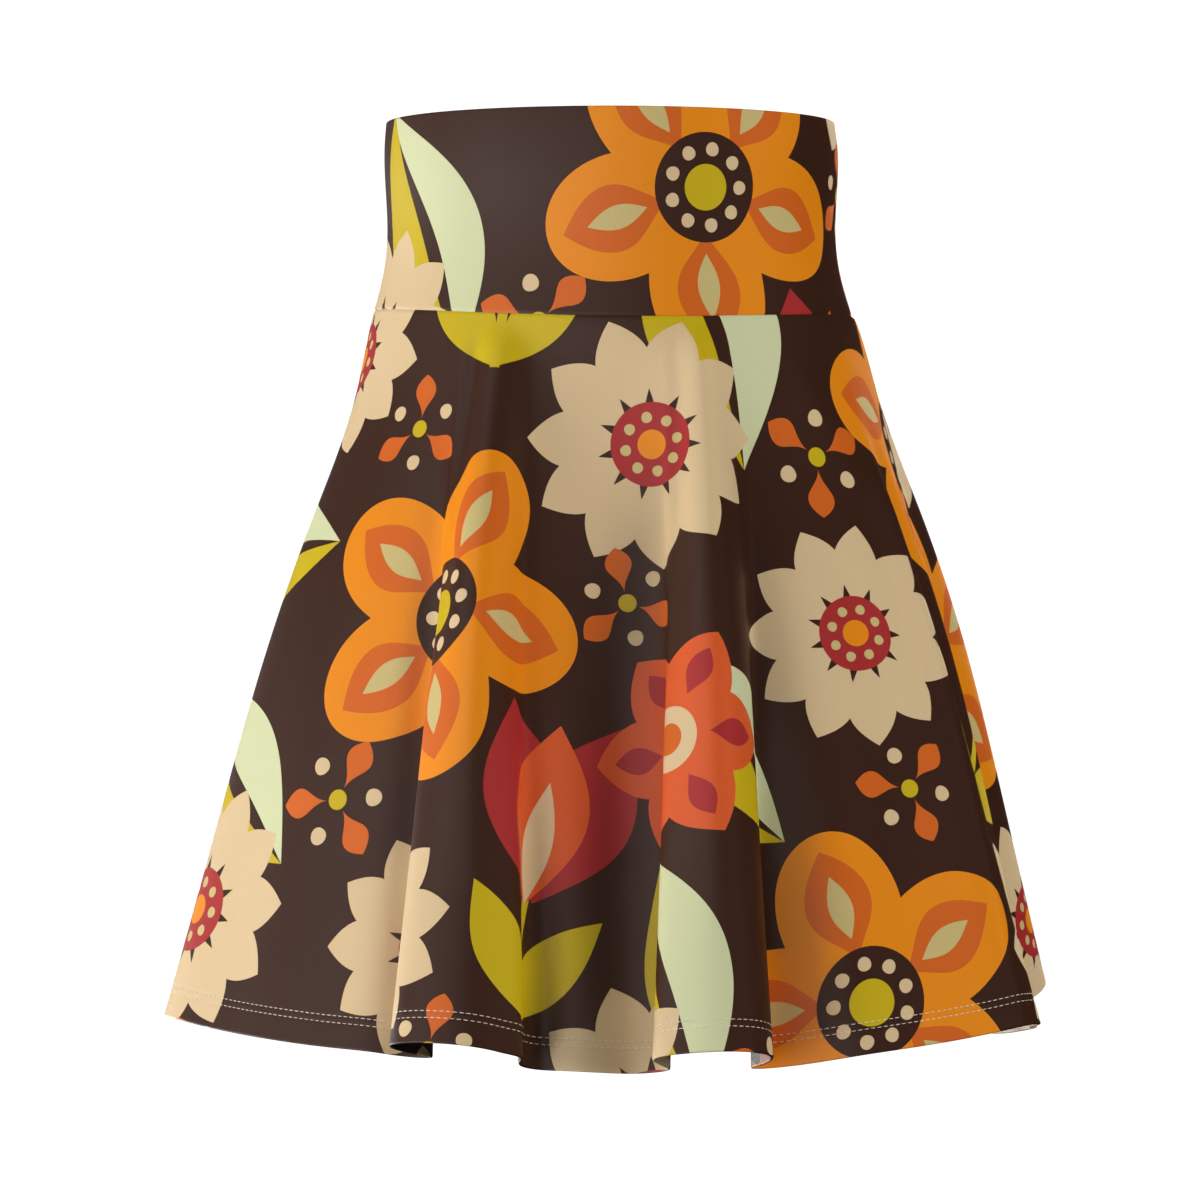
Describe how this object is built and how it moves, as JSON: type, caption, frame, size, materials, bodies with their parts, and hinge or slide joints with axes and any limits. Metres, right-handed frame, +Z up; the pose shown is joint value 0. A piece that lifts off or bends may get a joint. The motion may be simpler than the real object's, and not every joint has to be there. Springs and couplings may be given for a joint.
{
  "type": "circle skirt",
  "caption": "High-waisted circle skirt with a wide waistband and a flared hem that falls in deep, uneven folds, filled out as it is when worn.",
  "frame": {"origin": "middle of the waist, the narrowest ring of the waistband, where the wearer's waist holds the skirt", "axes": "+Z up, -Y towards the front, +X to the right as seen from the front"},
  "size_m": [0.4577, 0.4412, 0.4702],
  "materials": {
    "waistband_front_cloth": "printed stretch jersey, dark brown ground, soft sheen",
    "waistband_back_cloth": "printed stretch jersey, dark brown ground, soft sheen",
    "skirt_front_cloth": "printed stretch jersey, dark brown ground, soft sheen",
    "skirt_back_cloth": "printed stretch jersey, dark brown ground, soft sheen"
  },
  "bodies": {
    "root": {"waistband_front": "waistband_front_cloth", "waistband_back": "waistband_back_cloth", "skirt_front": "skirt_front_cloth", "skirt_back": "skirt_back_cloth"}
  },
  "joints": []
}
